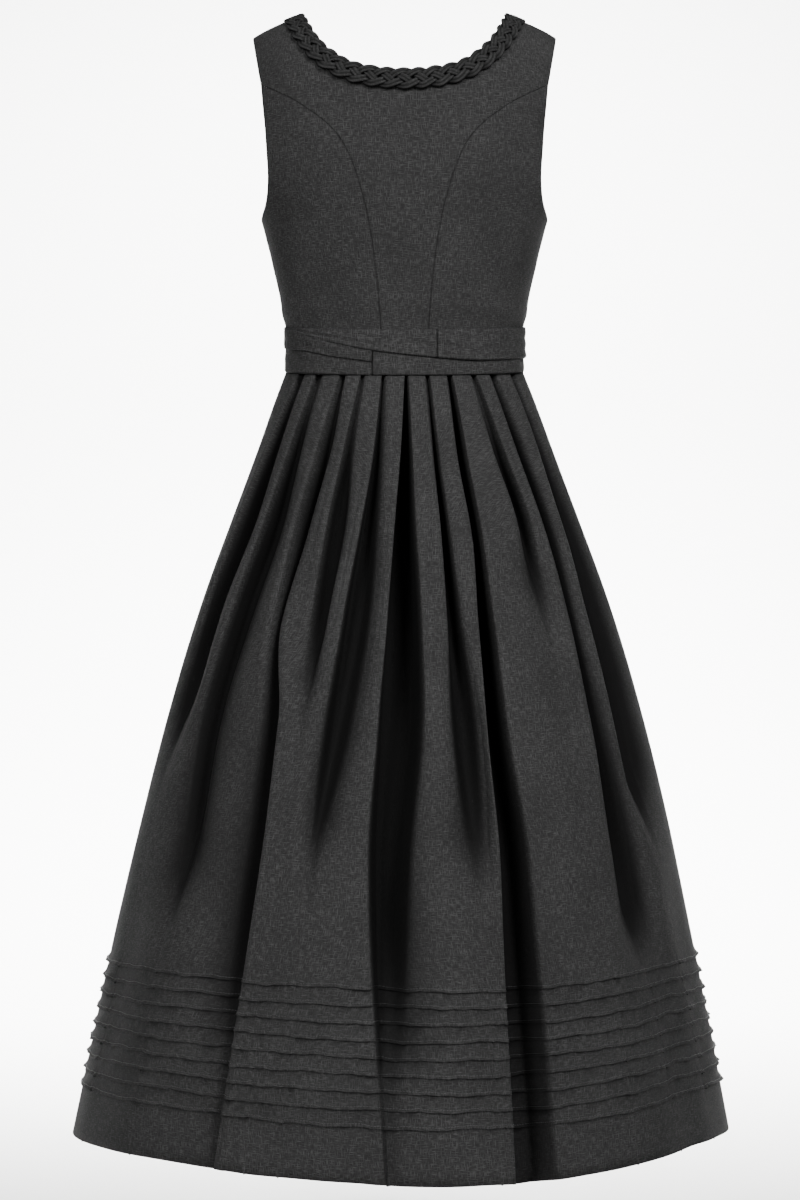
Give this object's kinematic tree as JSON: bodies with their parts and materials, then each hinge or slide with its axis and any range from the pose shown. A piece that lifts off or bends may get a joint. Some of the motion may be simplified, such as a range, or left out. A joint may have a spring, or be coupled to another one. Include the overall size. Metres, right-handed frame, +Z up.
{
  "type": "dirndl dress",
  "caption": "Sleeveless midi dirndl dress, worn and hollow: seamed bodice, plaited neckline, crossed tie belt and pleated skirt with pin tucks above the hem.",
  "frame": {"origin": "midway between the two high shoulder points of the neckline", "axes": "+Z up along the wearer's height; the wearer faces +Y, so the back of the dress is at -Y; the wearer's right hand is at +X"},
  "size_m": [0.699, 0.6857, 1.1952],
  "materials": {
    "dress_cloth": "matt black heathered cloth with a fine weave"
  },
  "bodies": {
    "root": {"bodice_back_center": "dress_cloth", "bodice_back_side_left": "dress_cloth", "bodice_back_side_right": "dress_cloth", "bodice_front_center_left": "dress_cloth", "bodice_front_center_right": "dress_cloth", "bodice_front_side_left": "dress_cloth", "bodice_front_side_right": "dress_cloth", "neck_plait": "dress_cloth", "tie_lower_left": "dress_cloth", "tie_lower_right": "dress_cloth", "tie_upper_left": "dress_cloth", "tie_upper_right": "dress_cloth", "skirt_back": "dress_cloth", "skirt_front": "dress_cloth"}
  },
  "joints": []
}
